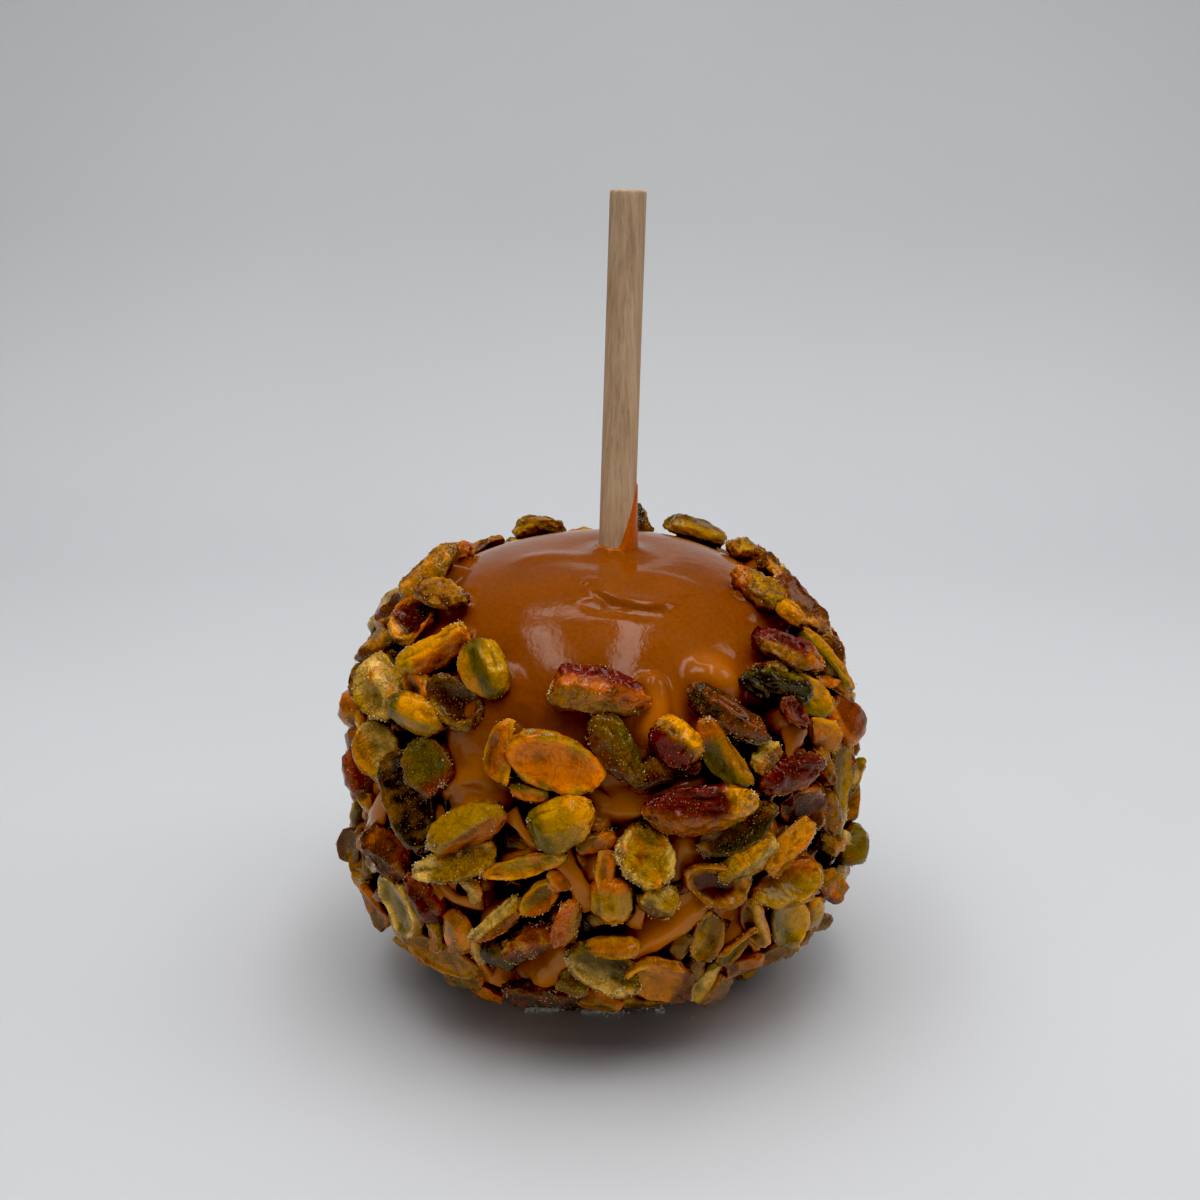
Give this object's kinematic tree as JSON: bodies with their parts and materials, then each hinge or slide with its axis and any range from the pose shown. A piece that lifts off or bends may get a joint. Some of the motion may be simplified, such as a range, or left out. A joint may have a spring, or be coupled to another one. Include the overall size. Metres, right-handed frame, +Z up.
{
  "type": "caramel apple on a stick",
  "caption": "Caramel-dipped apple rolled in shelled pistachio kernels, bare glossy caramel cap, plain round wooden stick, flat foot to stand on.",
  "frame": {"origin": "centre of the flat foot that the apple stands on", "axes": "+Z up, roughly along the stick; -Y is the side shown in front; the stick leans towards +Y and +X"},
  "size_m": [0.0956, 0.0946, 0.1438],
  "materials": {
    "caramel": "glossy soft caramel with fine orange-peel surface",
    "birch": "plain sanded birch dowel, unvarnished",
    "kernel_mix": "roasted pistachio kernels, green, tan and purple, lightly glazed and salted",
    "kernel_green": "green pistachio flesh, waxy",
    "kernel_tan": "tan roasted kernel with grains of salt and sugar",
    "kernel_purple": "purple-brown papery kernel skin"
  },
  "bodies": {
    "root": {"caramel_apple": "caramel", "stick": "birch", "nut_coat": "kernel_mix", "kernel_front": "kernel_tan", "kernel_front_low": "kernel_tan", "kernel_front_side": "kernel_green", "kernel_front_round": "kernel_green", "kernel_left_green": "kernel_green", "kernel_left_cup": "kernel_green", "kernel_left_slab": "kernel_tan", "kernel_left_dark": "kernel_purple", "kernel_left_tan": "kernel_tan", "kernel_left_tall": "kernel_green", "kernel_left_small": "kernel_tan", "kernel_back_left": "kernel_tan", "kernel_back_spiky": "kernel_tan", "kernel_back": "kernel_tan", "kernel_back_dark": "kernel_purple", "kernel_back_green": "kernel_green", "kernel_back_right": "kernel_tan", "kernel_right_back": "kernel_tan", "kernel_right_rough": "kernel_tan", "kernel_right_purple": "kernel_purple", "kernel_right_streaked": "kernel_tan", "kernel_right_green": "kernel_green", "kernel_right_brown": "kernel_purple"}
  },
  "joints": []
}
